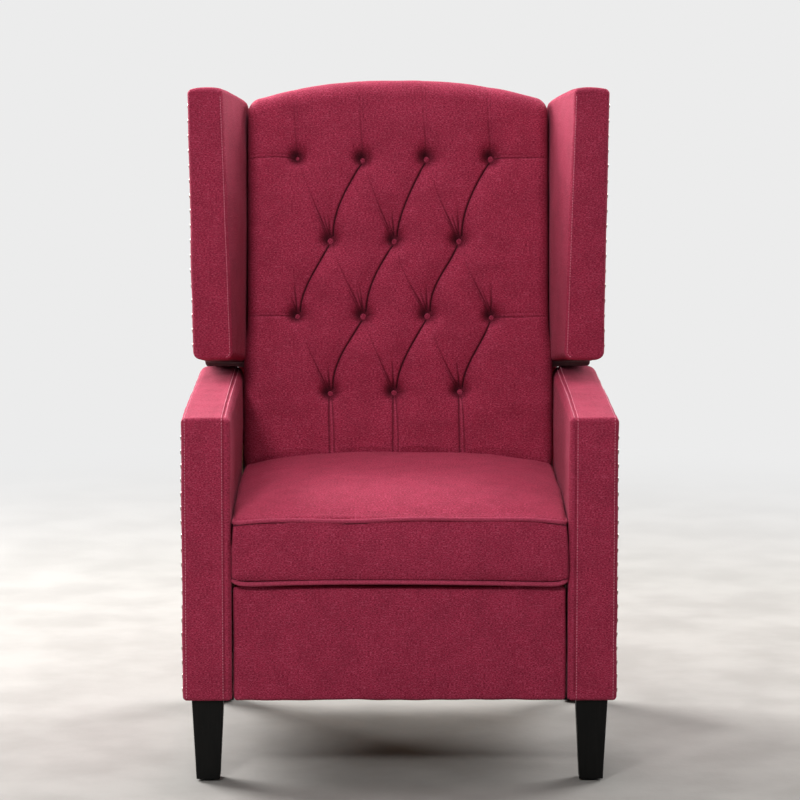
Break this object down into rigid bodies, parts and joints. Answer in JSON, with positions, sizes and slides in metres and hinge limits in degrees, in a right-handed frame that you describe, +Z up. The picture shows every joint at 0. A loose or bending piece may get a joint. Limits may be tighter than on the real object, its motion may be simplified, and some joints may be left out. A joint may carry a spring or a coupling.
{
  "type": "wingback recliner",
  "caption": "Push-back wingback recliner with a button-tufted back, welted seat, padded footrest on a scissor linkage and tapered wooden legs.",
  "frame": {"origin": "on the floor, at the middle of the bounding box at rest", "axes": "+X to the right as one faces the chair, +Z up; the chair faces -Y"},
  "size_m": [0.7148, 0.789, 1.0963],
  "materials": {
    "upholstery_fabric": "matte",
    "frame_wood": "satin",
    "leg_wood": "satin",
    "mechanism_steel": "satin",
    "zinc_hardware": "satin",
    "elastic_webbing": "matte",
    "glide_plastic": "matte"
  },
  "bodies": {
    "base": {"arm_left": "upholstery_fabric", "arm_right": "upholstery_fabric", "arm_frame_left": "frame_wood", "arm_frame_right": "frame_wood", "leg_front_left": "leg_wood", "leg_front_right": "leg_wood", "leg_rear_left": "leg_wood", "leg_rear_right": "leg_wood", "base_plate_left": "mechanism_steel", "base_plate_right": "mechanism_steel", "leg_glides": "glide_plastic", "leg_bolts": "zinc_hardware", "rear_rail": "frame_wood", "cross_rail": "frame_wood", "rear_apron": "upholstery_fabric", "base_plate_bolts": "zinc_hardware", "base_pivot_pins": "zinc_hardware"},
    "back": {"back_frame": "frame_wood", "back_webbing": "elastic_webbing", "back_cushion": "upholstery_fabric", "back_top_pad": "upholstery_fabric", "back_buttons": "upholstery_fabric", "outside_back": "upholstery_fabric", "back_bracket_bolts": "zinc_hardware", "wing_left": "upholstery_fabric", "wing_right": "upholstery_fabric", "wing_board_left": "frame_wood", "wing_board_right": "frame_wood", "back_bracket_left": "mechanism_steel", "back_bracket_right": "mechanism_steel"},
    "seat": {"seat_frame": "frame_wood", "seat_cross_webbing": "elastic_webbing", "seat_long_webbing": "elastic_webbing", "seat_cushion": "upholstery_fabric", "seat_spacers": "zinc_hardware", "seat_plate_bolts": "zinc_hardware", "cross_tube": "mechanism_steel", "seat_pivot_pins": "zinc_hardware", "seat_plate_left": "mechanism_steel", "seat_plate_right": "mechanism_steel"},
    "front_swing": {"front_swing_link_left": "mechanism_steel", "front_swing_link_right": "mechanism_steel"},
    "rear_footrest_arms": {"rear_footrest_link_left": "mechanism_steel", "rear_footrest_link_right": "mechanism_steel", "rear_footrest_link_pins": "zinc_hardware"},
    "front_footrest_arms": {"front_footrest_link_left": "mechanism_steel", "front_footrest_link_right": "mechanism_steel", "front_footrest_link_pins": "zinc_hardware"},
    "main_footrest_arms": {"main_footrest_link_left": "mechanism_steel", "main_footrest_link_right": "mechanism_steel"},
    "support_footrest_arms": {"support_footrest_link_left": "mechanism_steel", "support_footrest_link_right": "mechanism_steel"},
    "footrest": {"footrest_pad": "upholstery_fabric", "footrest_board": "frame_wood", "footrest_bracket_pins": "zinc_hardware", "footrest_screws": "zinc_hardware", "footrest_bracket_left": "mechanism_steel", "footrest_bracket_right": "mechanism_steel"}
  },
  "joints": [
    {"name": "back_recline", "type": "hinge", "parent": "base", "child": "back", "pos_m": [0, 0.22501, 0.438], "axis": [-1, 0, 0], "range_deg": [0, 36]},
    {"name": "seat_hinge", "type": "hinge", "parent": "back", "child": "seat", "pos_m": [0, 0.24445, 0.3277], "axis": [-1, 0, 0], "range_deg": [-36, 0]},
    {"name": "front_swing_pivot", "type": "hinge", "parent": "base", "child": "front_swing", "pos_m": [0, -0.236, 0.362], "axis": [-1, 0, 0], "range_deg": [0, 36]},
    {"name": "rear_footrest_pivot", "type": "hinge", "parent": "seat", "child": "rear_footrest_arms", "pos_m": [0, -0.171, 0.33], "axis": [-1, 0, 0], "range_deg": [0, 90]},
    {"name": "front_footrest_pivot", "type": "hinge", "parent": "seat", "child": "front_footrest_arms", "pos_m": [0, -0.23186, 0.35283], "axis": [-1, 0, 0], "range_deg": [0, 90]},
    {"name": "main_footrest_pivot", "type": "hinge", "parent": "rear_footrest_arms", "child": "main_footrest_arms", "pos_m": [0, -0.04828, 0.17846], "axis": [-1, 0, 0], "range_deg": [-90, 0]},
    {"name": "support_footrest_pivot", "type": "hinge", "parent": "rear_footrest_arms", "child": "support_footrest_arms", "pos_m": [0, -0.07975, 0.21731], "axis": [-1, 0, 0], "range_deg": [-90, 0]},
    {"name": "footrest_tilt", "type": "hinge", "parent": "main_footrest_arms", "child": "footrest", "pos_m": [0, -0.279, 0.265], "axis": [-1, 0, 0], "range_deg": [0, 90]}
  ],
  "couplings": [
    {"joint": "seat_hinge", "follows": "back_recline", "ratio": -1},
    {"joint": "front_swing_pivot", "follows": "back_recline", "ratio": 1},
    {"joint": "rear_footrest_pivot", "follows": "back_recline", "ratio": 2.5},
    {"joint": "front_footrest_pivot", "follows": "back_recline", "ratio": 2.5},
    {"joint": "main_footrest_pivot", "follows": "back_recline", "ratio": -2.5},
    {"joint": "support_footrest_pivot", "follows": "back_recline", "ratio": -2.5},
    {"joint": "footrest_tilt", "follows": "back_recline", "ratio": 2.5}
  ]
}
